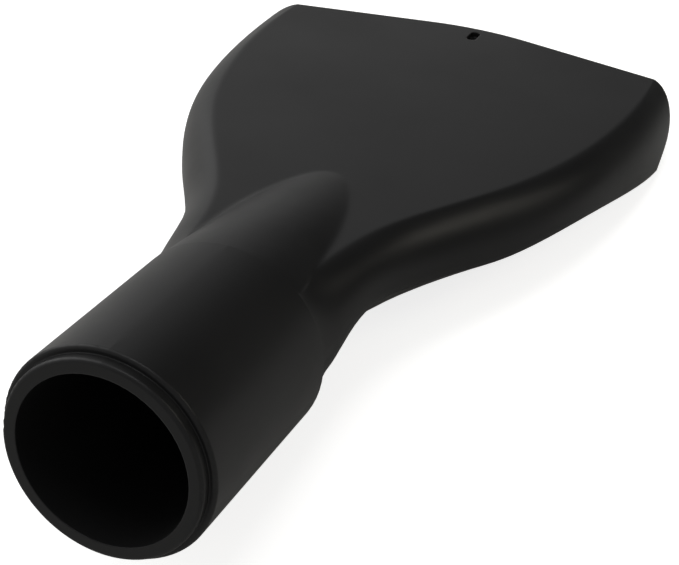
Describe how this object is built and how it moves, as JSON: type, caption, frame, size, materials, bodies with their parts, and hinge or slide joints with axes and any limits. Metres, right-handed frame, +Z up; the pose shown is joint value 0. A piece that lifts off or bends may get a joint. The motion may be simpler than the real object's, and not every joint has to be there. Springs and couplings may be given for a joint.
{
  "type": "vacuum upholstery nozzle",
  "caption": "Hollow plastic upholstery nozzle: a round wand socket flattens into a wide fan with a ridge on its flat top and a slot mouth that leans back.",
  "frame": {"origin": "centre of the tube's open end", "axes": "+Z up as the nozzle lies on a table, +Y from the socket towards the mouth, level, with the tube about 11 degrees nose down"},
  "size_m": [0.117, 0.2019, 0.0511],
  "materials": {
    "plastic": "satin moulded plastic, dark grey"
  },
  "bodies": {
    "root": {"nozzle": "plastic"}
  },
  "joints": []
}
